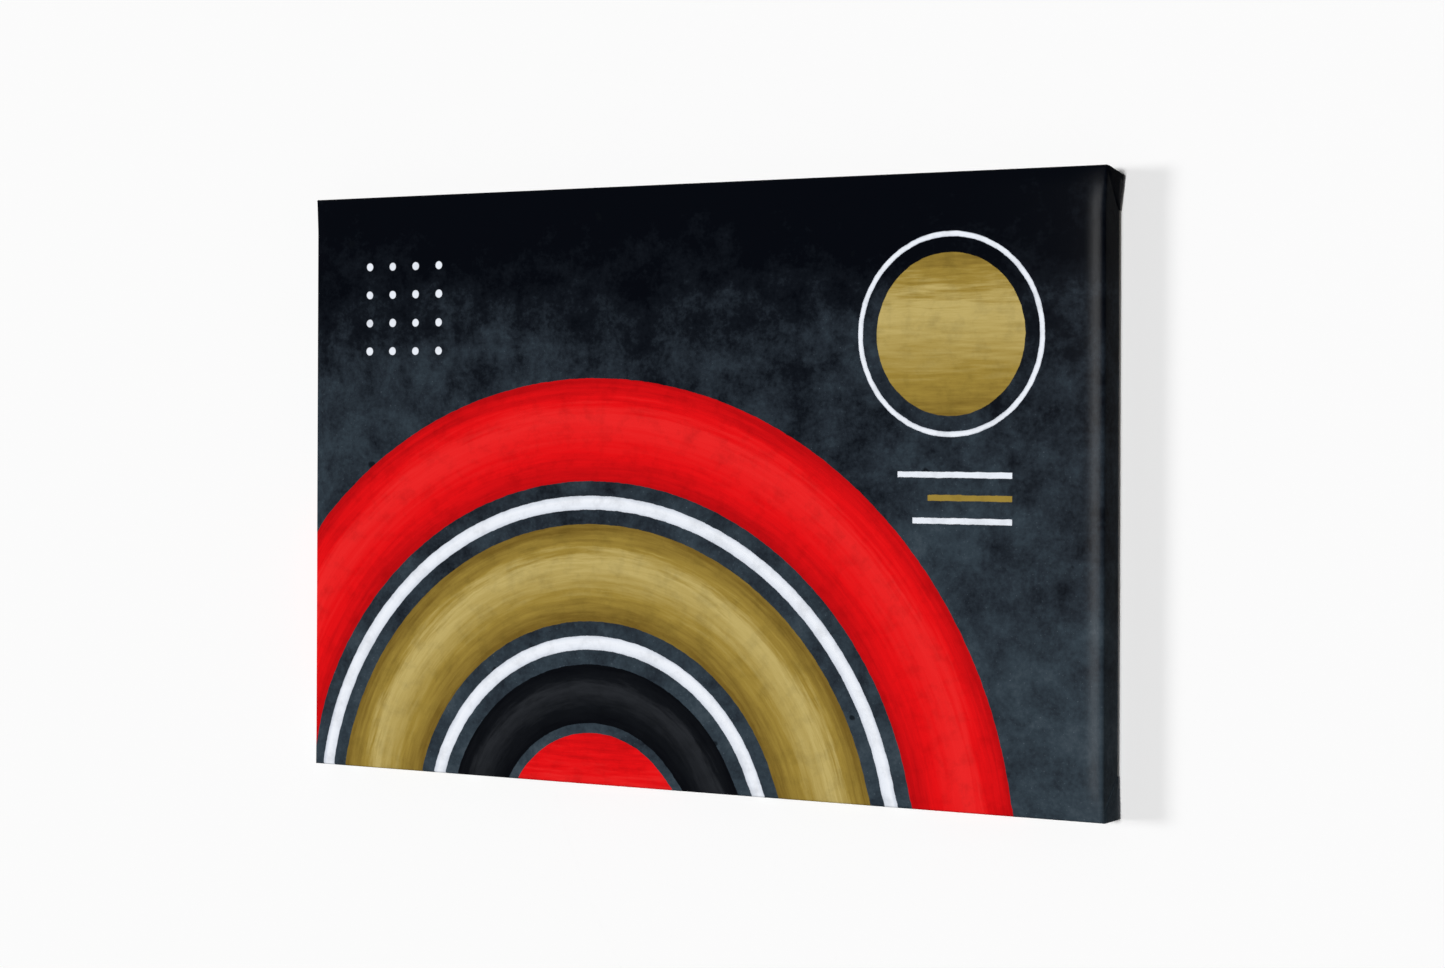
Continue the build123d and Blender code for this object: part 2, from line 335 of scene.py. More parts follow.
reliefSet = dict(lip=0.0047, drop=0.0062, width=0.024)  # upper corners fall away towards the back
foldSet = dict(
    lead=0.0014,  # how quickly the folded edge rises at the front of the corner
    frontTail=0.012,
    backTail=0.040,
    edge=0.0005,
    seat=0.0008,  # how deep the layers start inside the wrap
    lap=0.0002,  # how far their last edge lies outside it
    layers=0.0009,  # how far the folded cloth stands proud on the back
    backSeat=0.0003,
    backInset=(0.0011, 0.0006),  # from the side, and from the end and the cut edge
    backLonger=0.003,
    backSlope=0.8,
    backRound=0.0005,
    stations=[  # share of the depth, and swell
        (0.0, 0.12), (0.0, 1.0), (0.25, 1.0), (0.5, 1.0), (0.75, 1.0), (1.0, 1.0), (1.0, 0.45),
    ],
    points=8,
    corners=[  # side, end, bulge at the front and at the back, push of the layers under the cloth
        (-1, 1, 0.0028, 0.0040, 0.0014),
        (1, 1, 0.0034, 0.0050, 0.0021),
        (-1, -1, 0.0009, 0.0020, 0.0003),
        (1, -1, 0.0009, 0.0014, 0.0002),
    ],
)
cloth = canvasSet["thickness"] + canvasSet["slack"]
reliefY = frontY + reliefSet["lip"]


def reliefPlane(side):  # slanting face of an upper corner, at the outside of the cloth
    depth = backY - cloth - reliefY
    drop, width = reliefSet["drop"], reliefSet["width"]
    slope = Vector((side * drop * depth, drop * width, width * depth)).normalized()
    return Vector((side * (halfWidth - cloth), reliefY, topZ - cloth)) + slope * cloth, slope


def cutRelief(bm, whole):  # slices the upper corners along their slanting faces and closes them flat
    for side in (-1, 1):
        corner, slope = reliefPlane(side)
        faces = [face for face in bm.faces if face not in whole]
        verts = once(vert for face in faces for vert in face.verts)
        edges = once(edge for face in faces for edge in face.edges)
        cut = bmesh.ops.bisect_plane(
            bm, geom=[*verts, *edges, *faces], dist=1e-6, plane_co=corner, plane_no=slope, clear_outer=True
        )["geom_cut"]
        rim = [item for item in cut if isinstance(item, bmesh.types.BMEdge)]
        bmesh.ops.holes_fill(bm, edges=rim, sides=0)


def ring(bm, places):
    verts = [bm.verts.new(place) for place in places]
    return [bm.edges.new((verts[i], verts[(i + 1) % len(verts)])) for i in range(len(verts))]


def makeFold(bm, side, end, front, back):  # spare cloth folded down flat against the side of one corner
    rear = backY - canvasSet["backRound"]
    corner = midZ + end * halfHeight
    edge, points = foldSet["edge"], foldSet["points"]
    loops = []
    for place, (share, swell) in enumerate(foldSet["stations"]):
        y = reliefY + (rear - reliefY) * share
        if swell < 1:
            y += canvasSet["backRound"] + foldSet["lap"] if place else -foldSet["lead"]
        tail = foldSet["frontTail"] + (foldSet["backTail"] - foldSet["frontTail"]) * share
        bulge = front + (back - front) * share
        outline = []
        for step in range(points):
            down = step / (points - 1)
            puff = swell * (edge + (bulge - edge) * (1 - down**1.15))
            outline.append((side * (halfWidth + puff), y, corner - end * tail * down))
        outline.append((side * (halfWidth + foldSet["lap"]), y, corner - end * (tail + edge / 2)))
        inner = [(side * (halfWidth - foldSet["seat"]), y, spot[2]) for spot in reversed(outline)]
        loops.append(ring(bm, outline + inner))
    for first, second in zip(loops, loops[1:]):
        bmesh.ops.bridge_loops(bm, edges=first + second)
    bmesh.ops.holes_fill(bm, edges=loops[0] + loops[-1], sides=0)


def makeBackFold(bm, side, end):  # the same layers where they lie on the back of the corner
    inSide, inEnd = foldSet["backInset"]
    turn, tail = canvasSet["turnover"] - inEnd, foldSet["backTail"] + foldSet["backLonger"]
    low = backY - foldSet["backSeat"]
    outline = [(inSide, inEnd), (inSide, tail), (turn, tail - turn * foldSet["backSlope"]), (turn, inEnd)]
    verts = [
        bm.verts.new((side * (halfWidth - inX), low, midZ + end * (halfHeight - inZ))) for inX, inZ in outline
    ]
    face = bm.faces.new(verts)
    made = bmesh.ops.extrude_face_region(bm, geom=[face])["geom"]
    lifted = [item for item in made if isinstance(item, bmesh.types.BMVert)]
    bmesh.ops.translate(bm, verts=lifted, vec=(0, foldSet["layers"] + foldSet["backSeat"], 0))
    rim = once(edge for vert in lifted for edge in vert.link_edges)
    bmesh.ops.bevel(
        bm, geom=rim, offset=foldSet["backRound"], segments=2, profile=0.5, affect="EDGES", material=-1
    )


def inCorner(vert, reach):  # the outside corner that a vertex is near, as side and end
    side, end = math.copysign(1, vert.co.x), math.copysign(1, vert.co.z - midZ)
    near = halfWidth - side * vert.co.x < reach and halfHeight - end * (vert.co.z - midZ) < reach
    return (side, end) if near else None


def makeCanvas():
    bm = bmesh.new()
    makeWrap(bm)
    for vert in bm.verts:
        dressCloth(vert)
    corners = [edge for edge in bm.edges if all(inCorner(vert, 0.0004) for vert in edge.verts)]
    offset = canvasSet["cornerBevel"]
    bmesh.ops.bevel(bm, geom=corners, offset=offset, segments=3, profile=0.5, affect="EDGES", material=-1)
    pushes = {(side, end): push for side, end, front, back, push in foldSet["corners"]}
    for vert in bm.verts:
        corner = inCorner(vert, canvasSet["lip"])
        if corner:
            vert.co.x += corner[0] * pushes[corner]
    cutRelief(bm, set())
    outside = set(bm.faces)
    bmesh.ops.solidify(bm, geom=list(bm.faces), thickness=canvasSet["thickness"])
    for face in bm.faces:
        face.material_index = 0 if face in outside else 1
    wrapFaces = set(bm.faces)
    for side, end, front, back, push in foldSet["corners"]:
        makeFold(bm, side, end, front, back)
        makeBackFold(bm, side, end)
    cutRelief(bm, wrapFaces)
    folds = [face for face in bm.faces if face not in wrapFaces]
    bmesh.ops.recalc_face_normals(bm, faces=folds)
    unfoldFaces(bm, bm.faces)
    return bm


# inks of the print, and a generic design of arcs, a disc, dots and lines on mottled slate

inkSet = dict(  # edge of a band, its body and its lightest part
    red=((0.50, 0.004, 0.006), (0.775, 0.006, 0.008), (0.83, 0.020, 0.020)),
    gold=((0.175, 0.108, 0.018), (0.330, 0.226, 0.042), (0.520, 0.405, 0.140)),
    white=((0.66, 0.70, 0.78), (0.82, 0.86, 0.93), (0.88, 0.91, 0.97)),
    black=((0.003, 0.0035, 0.005), (0.006, 0.007, 0.009), (0.020, 0.022, 0.026)),
    slate=[  # tone and colour
        (0.30, (0.0020, 0.0027, 0.0048)),
        (0.42, (0.0060, 0.0080, 0.0118)),
        (0.52, (0.0180, 0.0245, 0.0330)),
        (0.64, (0.0330, 0.0480, 0.0620)),
        (0.84, (0.0740, 0.0960, 0.1160)),
    ],
    fleck=(0.13, 0.16, 0.19, 1),
    spot=(0.003, 0.004, 0.006, 1),
    dust=(0.34, 0.33, 0.31, 1),
)
designSet = dict(
    rounds=[  # middle, then bands by outer radius, inner radius and ink
        ((-0.10, -0.36), [
            (0.470, 0.365, "red"),
            (0.350, 0.336, "white"),
            (0.321, 0.222, "gold"),
            (0.207, 0.193, "white"),
            (0.178, 0.118, "black"),
            (0.108, 0.000, "red"),
        ]),
        ((0.300, 0.150), [(0.098, 0.093, "white"), (0.078, 0.000, "gold")]),
    ],
    lines=[(0.305, 0.016, 0.060, "white"), (0.321, -0.006, 0.044, "gold"), (0.313, -0.028, 0.052, "white")],
    lineHalf=0.0028,
    dotStart=(-0.385, 0.140),
    dotStep=0.030,
    dotCount=(4, 4),
    dotRadius=0.0042,
    wobble=0.0009,  # hand-cut edges
    streak=0.55,  # how far the brush strokes shift a band's tone
    footLight=0.35,  # the slate pales towards the foot
    brim=0.14,  # height from which it darkens to nearly black
    brimDark=1.4,
)
weaveSet = dict(pitch=0.0011, depth=0.00002, thread=0.65, slub=0.35, yarn=(620, 14))
satinSet = dict(  # pairs: change with the weave or the slope, and start
    shade=(0.22, 0.87),  # painted shade: the ink is darkened in the gaps of the weave
    roughness=(-0.06, 0.27),
    bareRougher=0.6,
    gloss=0.004,
    dust=(2.5, -1.3),  # matt dust, where a face looks up
    dustTint=0.05,
    ghost=0.07,  # picture that shows through on the inside
)


def weave(bench, across, along):  # over-and-under threads, 0 in the gaps to 1 on top of a thread
    turn = math.pi / weaveSet["pitch"]
    waves = []
    for value in (across, along):
        angle = bench.math("MULTIPLY", value, turn)
        waves.append((bench.math("SINE", angle), bench.math("COSINE", angle)))
    warp = bench.math("ABSOLUTE", waves[0][0])
    weft = bench.math("ABSOLUTE", waves[1][0])
    over = bench.math("MULTIPLY_ADD", bench.math("MULTIPLY", waves[0][1], waves[1][1]), 0.5, 0.5)
    under = bench.math("SUBTRACT", 1.0, over)
    threads = bench.math("MAXIMUM", bench.math("MULTIPLY", warp, over), bench.math("MULTIPLY", weft, under))
    flat = bench.combine(across, along)
    fine, long = weaveSet["yarn"]  # uneven yarn, both ways
    upright = bench.noise(bench.mapping(flat, scale=(fine, long, 1)), 1.0, 2.0)
    level = bench.noise(bench.mapping(flat, scale=(long, fine, 1)), 1.0, 2.0)
    yarn = bench.math("ADD", upright, level)
    threads = bench.math("MULTIPLY", threads, weaveSet["thread"])
    return bench.math("MULTIPLY_ADD", yarn, weaveSet["slub"], threads)


def bareCloth(bench, height, place):  # unprinted cotton with painted shade in the weave's gaps, and a few flecks
    # painted shade: darker and browner where the weave's gaps lie
    tone = bench.ramp(height, [(0.2, (0.50, 0.46, 0.38)), (0.85, (0.81, 0.78, 0.69))])
    cloud = bench.noise(place, 26.0, 4.0, 0.6)
    clouded = bench.ramp(cloud, [(0.3, (0.91, 0.89, 0.86)), (0.7, (1.0, 1.0, 1.0))])
    tone = bench.mix(1.0, tone, clouded, "MULTIPLY")
    fleck = bench.below(bench.noise(place, 420.0, 1.0), 0.27, 0.02)
    return bench.mix(bench.math("MULTIPLY", fleck, 0.45), tone, (0.33, 0.24, 0.14, 1))


def mottledSlate(bench, flat, v):
    cloud = bench.noise(flat, 5.2, 5.0, 0.60, 0.15)
    stain = bench.noise(bench.mapping(flat, shift=(3.1, 1.7, 0)), 24.0, 8.0, 0.74, 0.12)
    grit = bench.noise(bench.mapping(flat, shift=(9.0, 4.0, 0)), 240.0, 2.0, 0.5)
    tone = bench.math("MULTIPLY_ADD", stain, 0.64, bench.math("MULTIPLY_ADD", cloud, 0.44, -0.07))
    tone = bench.math("MULTIPLY_ADD", grit, 0.12, tone)
    tone = bench.math("MULTIPLY_ADD", v, -designSet["footLight"], tone)
    brim = bench.math("MAXIMUM", bench.math("SUBTRACT", v, designSet["brim"]), 0.0)
    tone = bench.math("MULTIPLY_ADD", brim, -designSet["brimDark"], tone)
    colour = bench.ramp(tone, inkSet["slate"])
    dust = bench.noise(bench.mapping(flat, shift=(2.0, 6.0, 0)), 480.0, 1.0)
    dust = bench.below(bench.math("MULTIPLY", dust, -1.0), -0.73, 0.08)
    dust = bench.math("MULTIPLY", dust, bench.math("MULTIPLY_ADD", tone, 2.5, -1.1, clamp=True))
    colour = bench.mix(dust, colour, inkSet["fleck"])
    drip = bench.noise(bench.mapping(flat, shift=(7.0, 1.0, 0)), 38.0, 2.0, 0.4)
    return bench.mix(bench.math("MULTIPLY", bench.below(drip, 0.24, 0.03), 0.8), colour, inkSet["spot"])


def printDesign(bench, u, v):
    flat = bench.combine(u, v)
    colour = mottledSlate(bench, flat, v)
    ragged = bench.noise(flat, 95.0, 3.0)
    rough = bench.math("MULTIPLY_ADD", ragged, 2 * designSet["wobble"], -designSet["wobble"])
    rub = bench.noise(bench.mapping(flat, shift=(5.0, 2.0, 0)), 48.0, 6.0, 0.66)
    wear = bench.ramp(rub, [(0.28, (0.80, 0.80, 0.80)), (0.52, (1.0, 1.0, 1.0))])

    def lay(under, mask, paint):
        return bench.mix(mask, under, bench.mix(1.0, paint, wear, "MULTIPLY"))

    for middle, bands in designSet["rounds"]:
        local = bench.mapping(flat, shift=(-middle[0], -middle[1], 0))
        across, up, _ = bench.split(local)
        angle = bench.math("ARCTAN2", up, across)
        reach = bench.math("ADD", bench.length(local), rough)
        sweep = bench.combine(bench.math("MULTIPLY", reach, 170.0), bench.math("MULTIPLY", angle, 3.2))
        brush = bench.noise(sweep, 1.0, 5.0, 0.62)  # strokes that follow the bands
        level = bench.noise(bench.mapping(local, scale=(16, 190, 1)), 1.0, 5.0, 0.62)
        for outer, inner, ink in bands:
            wide = outer - inner
            tone, stroke = bench.math("MULTIPLY_ADD", reach, 1 / wide, -inner / wide), brush
            if not inner:  # a disc is brushed level, and shaded from its top to its foot
                tone, stroke = bench.math("MULTIPLY_ADD", up, 0.4 / outer, 0.5), level
            streak = designSet["streak"]
            tone = bench.math("MULTIPLY_ADD", stroke, streak, bench.math("SUBTRACT", tone, streak / 2))
            low, body, light = inkSet[ink]
            paint = bench.ramp(tone, [(0.0, low), (0.28, body), (0.62, light), (0.78, body), (1.0, low)])
            mask = bench.below(reach, outer)
            if inner:
                mask = bench.math("SUBTRACT", mask, bench.below(reach, inner), clamp=True)
            colour = lay(colour, mask, paint)

    for middle, height, half, ink in designSet["lines"]:
        sideways = bench.math("ABSOLUTE", bench.math("SUBTRACT", u, middle))
        upright = bench.math("ADD", bench.math("ABSOLUTE", bench.math("SUBTRACT", v, height)), rough)
        within = bench.below(upright, designSet["lineHalf"])
        mask = bench.math("MULTIPLY", bench.below(sideways, half), within)
        colour = lay(colour, mask, (*inkSet[ink][1], 1))

    step = designSet["dotStep"]
    offsets, windows = [], []
    for value, start, count in zip((u, v), designSet["dotStart"], designSet["dotCount"]):
        offsets.append(bench.math("WRAP", bench.math("SUBTRACT", value, start), step / 2, -step / 2))
        middle = start + step * (count - 1) / 2
        away = bench.math("ABSOLUTE", bench.math("SUBTRACT", value, middle))
        windows.append(bench.below(away, step * count / 2))
    away = bench.math("ADD", bench.length(bench.combine(*offsets)), rough)
    mask = bench.below(away, designSet["dotRadius"])
    mask = bench.math("MULTIPLY", mask, bench.math("MULTIPLY", *windows))
    return lay(colour, mask, (*inkSet["white"][1], 1))


def printedCanvas():
    bench = NodeBench("printedCanvas")
    u, v, _ = bench.split(bench.add("ShaderNodeUVMap", uv_map="cloth").outputs[0])
    place, x, y, z = bench.place()
    mirrored = []  # the picture turns back on itself round the edges
    for value, half in ((u, halfWidth), (v, halfHeight)):
        folded = bench.math("PINGPONG", bench.math("ADD", value, half), 2 * half)
        mirrored.append(bench.math("SUBTRACT", folded, half))
    design = printDesign(bench, *mirrored)
    height = weave(bench, u, v)
    # painted shade: the design is darkened where the weave's gaps lie, standing in for their shade
    shade = bench.math("MULTIPLY_ADD", height, *satinSet["shade"])
    gapShadedInk = bench.mix(1.0, design, bench.ramp(shade, [(0.0, (0, 0, 0)), (1.0, (1, 1, 1))]), "MULTIPLY")
    onBack = bench.below(bench.math("MULTIPLY", y, -1.0), -backY + 0.0009, 0.0002)
    inX = bench.math("SUBTRACT", halfWidth, bench.math("ABSOLUTE", x))
    inZ = bench.math("SUBTRACT", halfHeight, bench.math("ABSOLUTE", bench.math("SUBTRACT", z, midZ)))
    inside = bench.below(
        bench.math("MULTIPLY", bench.math("MINIMUM", inX, inZ), -1.0), -canvasSet["printedBack"], 0.0008
    )
    bare = bench.math("MULTIPLY", onBack, inside)
    colour = bench.mix(bare, gapShadedInk, bareCloth(bench, height, place))
    upward = bench.split(bench.add("ShaderNodeNewGeometry").outputs["Normal"])[2]
    dust = bench.math("MULTIPLY_ADD", upward, *satinSet["dust"], clamp=True)
    tint = bench.math("MULTIPLY", bench.noise(place, 90.0, 6.0, 0.7), satinSet["dustTint"])
    colour = bench.mix(bench.math("MULTIPLY", dust, tint), colour, inkSet["dust"])
    satin = bench.math("MULTIPLY_ADD", height, *satinSet["roughness"])
    roughness = bench.math("MULTIPLY_ADD", bare, satinSet["bareRougher"], satin)
    roughness = bench.math("MAXIMUM", roughness, dust)
    relief = bench.bump(height, weaveSet["depth"])
    return bench.finish(colour, roughness, relief, specular=satinSet["gloss"])


def bareBack():  # the inside of the cloth, with a ghost of the picture showing through
    bench = NodeBench("bareCanvas")
    place, x, y, z = bench.place()
    upright = bench.math("SUBTRACT", z, midZ)
    height = weave(bench, x, upright)
    cotton = bareCloth(bench, height, place)
    ghost = printDesign(bench, x, upright)
    colour = bench.mix(satinSet["ghost"], cotton, ghost)
    return bench.finish(colour, 0.9, bench.bump(height, weaveSet["depth"] * 4), specular=0.1)


canvasPiece = finishPiece("canvasSheet", makeCanvas(), [printedCanvas(), bareBack()], 50)
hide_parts("canvas")


# staples, one joined piece along the turned-over cloth

stapleSet = dict(
    crown=0.0105,
    wire=0.0013,
    thick=0.0006,
    leg=0.0010,
    shoulder=0.0007,
    lift=0.00035,
    inset=0.0145,
    stray=(-0.0025, 0.0015),
    lean=0.28,
    corner=[(0.0085, 0.0255), (0.017, 0.0145)],  # two slanting ones hold each folded corner
    cornerLean=0.8,
)


def oneStaple():
    bm = bmesh.new()
    bmesh.ops.create_grid(bm, x_segments=5, y_segments=1, size=0.5)
    half = stapleSet["crown"] / 2
    columns = [(-half, -stapleSet["leg"]), (-half, 0.0), (-half + stapleSet["shoulder"], stapleSet["lift"])]
    columns += [(-across, up) for across, up in reversed(columns)]
    for vert in bm.verts:
        across, up = columns[round((vert.co.x + 0.5) * 5)]
        vert.co = (across, vert.co.y * stapleSet["wire"], up)
    bmesh.ops.solidify(bm, geom=list(bm.faces), thickness=stapleSet["thick"])
    bmesh.ops.recalc_face_normals(bm, faces=bm.faces)
    mesh = bpy.data.meshes.new("stapleShape")
    bm.to_mesh(mesh)
    bm.free()
    return mesh


def galvanised():
    bench = NodeBench("galvanisedWire")
    place = bench.place()[0]
    grain = bench.noise(place, 900.0, 3.0)
    colour = bench.ramp(grain, [(0.3, (0.42, 0.43, 0.44)), (0.7, (0.66, 0.67, 0.68))])
    return bench.finish(colour, bench.math("MULTIPLY_ADD", grain, 0.25, 0.22), metal=1.0)


def makeStaples():
    shape = oneStaple()
    bm = bmesh.new()
    places = []
    for flat, along in staplePlaces:
        for sign in (-1, 1):
            lean = random.uniform(-stapleSet["lean"], stapleSet["lean"])
            inset = stapleSet["inset"] + random.uniform(*stapleSet["stray"])
            if flat:
                places.append((along, midZ + sign * (halfHeight - inset), lean, 0))
            else:
                places.append((sign * (halfWidth - inset), midZ + along, lean + math.pi / 2, 0))
    for side, end, *_ in foldSet["corners"]:
        for inX, inZ in stapleSet["corner"]:
            x, z = side * (halfWidth - inX), midZ + end * (halfHeight - inZ)
            places.append((x, z, -side * end * stapleSet["cornerLean"], foldSet["layers"]))
    for x, z, lean, rise in places:
        before = len(bm.verts)
        bm.from_mesh(shape)
        bm.verts.ensure_lookup_table()
        turn = Matrix.Rotation(lean, 4, "Y") @ Matrix.Rotation(-math.pi / 2, 4, "X")
        seat = Matrix.Translation((x, backY + stapleSet["lift"] + rise, z)) @ turn
        bmesh.ops.transform(bm, matrix=seat, verts=bm.verts[before:])
    bpy.data.meshes.remove(shape)
    return bm


staplePiece = finishPiece("staples", makeStaples(), [galvanised()], 30)


# loose threads along the cut edge of the cloth

threadSet = dict(
    count=190,
    longest=0.008,
    shortest=0.002,
    radius=0.00016,
    taper=0.5,
    onLongBars=0.6,
    cornerGap=0.045,
    tuck=0.0012,  # start under the cut edge
    lift=0.0001,
    rise=0.05,
    lean=0.5,
    bend=0.3,
)


def makeThreads():
    bm = bmesh.new()
    for _ in range(threadSet["count"]):
        flat = random.random() < threadSet["onLongBars"]
        sign = random.choice((-1, 1))
        reach = (halfWidth if flat else halfHeight) - threadSet["cornerGap"]
        along = random.uniform(-reach, reach)
        long = random.uniform(threadSet["shortest"], threadSet["longest"])
        lean = random.gauss(0, threadSet["lean"])
        inset = canvasSet["turnover"] - threadSet["tuck"]
        level, rise = backY + threadSet["lift"], threadSet["rise"]
        if flat:
            start = Vector((along, level, midZ + sign * (halfHeight - inset)))
            way = Vector((math.sin(lean), rise, -sign * math.cos(lean)))
        else:
            start = Vector((sign * (halfWidth - inset), level, midZ + along))
            way = Vector((-sign * math.cos(lean), rise, math.sin(lean)))
        aim = way.to_track_quat("Z", "Y").to_matrix().to_4x4()
        seat = Matrix.Translation(start + way.normalized() * long / 2) @ aim
        thick, thin = threadSet["radius"], threadSet["radius"] * threadSet["taper"]
        made = bmesh.ops.create_cone(bm, segments=4, radius1=thick, radius2=thin, depth=long, matrix=seat)
        bend = Vector((way.z, 0, -way.x)) * random.uniform(-threadSet["bend"], threadSet["bend"])
        edges = once(edge for vert in made["verts"] for edge in vert.link_edges)
        edges = [edge for edge in edges if edge.calc_length() > long * 0.9]
        cut = bmesh.ops.subdivide_edges(bm, edges=edges, cuts=1, use_grid_fill=False)["geom_inner"]
        for vert in (item for item in cut if isinstance(item, bmesh.types.BMVert)):
            vert.co += bend * long
    return bm


def cottonThread():
    bench = NodeBench("cottonThread")
    fuzz = bench.noise(bench.place()[0], 700.0, 2.0)
    colour = bench.ramp(fuzz, [(0.3, (0.62, 0.58, 0.50)), (0.7, (0.85, 0.82, 0.75))])
    return bench.finish(colour, 0.95, specular=0.15)


threadPiece = finishPiece("looseThreads", makeThreads(), [cottonThread()])


# wood: growth rings round a pith line beside each bar, and knots

pineSet = dict(
    ringStep=0.0031,
    early=(0.66, 0.46, 0.245),
    late=(0.46, 0.255, 0.10),
    knot=(0.16, 0.065, 0.022),
    longGrain=0.06,  # how much the pattern is drawn out along the grain
    drift=0.020,
    knotReach=0.24,  # shares of a knot's cell
    knotCore=0.12,
    knotSwell=0.030,  # rings pushed aside by a knot
    pieces=[  # node, grain axis, pith beside the piece, seed, tone
        ("bar_top", 0, (0.0, 0.035, -0.020), 1.3, 1.00),
        ("bar_bottom", 0, (0.0, -0.020, 0.590), 6.1, 0.94),
        ("bar_left", 2, (0.478, 0.030, 0.0), 11.7, 0.97),
        ("bar_right", 2, (-0.420, -0.030, 0.0), 17.9, 1.04),
        ("brace", 2, (0.030, 0.060, 0.0), 23.3, 0.92),
    ],
)


def pine(name, axis, pith, seed, tone):
    bench = NodeBench(name)
    place = bench.place()[0]
    stretch, squash, spread = [1.0] * 3, [1.0] * 3, [9.0] * 3
    stretch[axis], squash[axis], spread[axis] = pineSet["longGrain"], 0.0, 5.0
    fromPith = bench.length(bench.mapping(bench.mapping(place, shift=pith), scale=squash))
    drawn = bench.mapping(place, shift=(seed, seed * 0.7, seed * 1.3), scale=stretch)
    drift = bench.noise(drawn, 14.0, 3.0, 0.5)
    cells = bench.add("ShaderNodeTexVoronoi", feature="F1")
    bench.plug(cells.inputs["Vector"], bench.mapping(place, shift=(seed, seed, seed), scale=spread))
    cells.inputs["Scale"].default_value = 1.0
    cells.inputs["Randomness"].default_value = 1.0
    knotNear = bench.math("SUBTRACT", pineSet["knotReach"], cells.outputs["Distance"], clamp=True)
    radius = bench.math("MULTIPLY_ADD", drift, pineSet["drift"], fromPith)
    radius = bench.math("MULTIPLY_ADD", knotNear, pineSet["knotSwell"], radius)
    years = bench.math("DIVIDE", radius, pineSet["ringStep"])
    rings = bench.math("FRACT", years)
    late = bench.ramp(rings, [(0.48, (0, 0, 0)), (0.90, (1, 1, 1)), (0.97, (0, 0, 0))], "EASE")
    growth = bench.noise(bench.combine(years, seed), 0.9, 2.0, 0.6)  # some years leave a darker line
    late = bench.math("MULTIPLY", late, bench.math("MULTIPLY_ADD", growth, 2.2, -0.55, clamp=True))
    grain = bench.mix(late, (*pineSet["early"], 1), (*pineSet["late"], 1))
    fibre = bench.noise(bench.mapping(place, scale=stretch), 900.0, 3.0, 0.6)
    streaks = bench.ramp(fibre, [(0.25, (0.80, 0.78, 0.74)), (0.7, (tone, tone, tone))])
    grain = bench.mix(1.0, grain, streaks, "MULTIPLY")
    knot = bench.math("SUBTRACT", knotNear, pineSet["knotCore"], clamp=True)
    knot = bench.math("MULTIPLY", knot, 12.0, clamp=True)
    colour = bench.mix(knot, grain, (*pineSet["knot"], 1))
    height = bench.math("MULTIPLY_ADD", late, 0.15, fibre)
    roughness = bench.math("MULTIPLY_ADD", fibre, 0.2, 0.52)
    return bench.finish(colour, roughness, bench.bump(height, 0.00012, 0.6), specular=0.3)


def assign(node, material):
    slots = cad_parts[node].data.materials
    slots.clear()
    slots.append(material)


for node, axis, pith, seed, tone in pineSet["pieces"]:
    assign(node, pine(f"pine_{node}", axis, pith, seed, tone))
keyAcross = pine("keyWoodAcross", 0, (0.0, 0.05, 0.01), 31.0, 0.82)
keyUpright = pine("keyWoodUpright", 2, (0.02, 0.05, 0.0), 37.0, 0.80)
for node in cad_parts:
    if node.startswith("key_"):
        assign(node, keyUpright if node.split("_")[1] in ("top", "bottom") else keyAcross)
print("wood done")


# hanger, its screws and the bumpers


def zincPlate(name, base):
    bench = NodeBench(name)
    place = bench.place()[0]
    brushed = bench.noise(bench.mapping(place, scale=(40, 600, 1500)), 1.0, 3.0)
    cloud = bench.noise(place, 160.0, 4.0)
    colour = bench.ramp(cloud, [(0.3, [c * 0.78 for c in base]), (0.7, base)])
    roughness = bench.math("MULTIPLY_ADD", brushed, 0.22, bench.math("MULTIPLY_ADD", cloud, 0.14, 0.16))
    return bench.finish(colour, roughness, bench.bump(brushed, 0.00003, 0.5), metal=1.0)


def rubber():
    bench = NodeBench("bumperRubber")
    place = bench.place()[0]
    pores = bench.noise(place, 1100.0, 3.0)
    dust = bench.noise(place, 180.0, 5.0, 0.7)
    colour = bench.ramp(dust, [(0.35, (0.018, 0.018, 0.019)), (0.75, (0.050, 0.049, 0.047))])
    roughness = bench.math("MULTIPLY_ADD", dust, 0.2, 0.55)
    return bench.finish(colour, roughness, bench.bump(pores, 0.00005, 0.5))


screwSet = dict(
    cells=12,
    head=0.0014,
    dome=0.00045,
    crossHalf=0.17,  # shares of the head's radius
    crossReach=0.62,
    crossWall=0.05,
    shank=0.48,
    deep=0.0006,
    tip=0.003,
    turns=(0.35, 1.1),
)


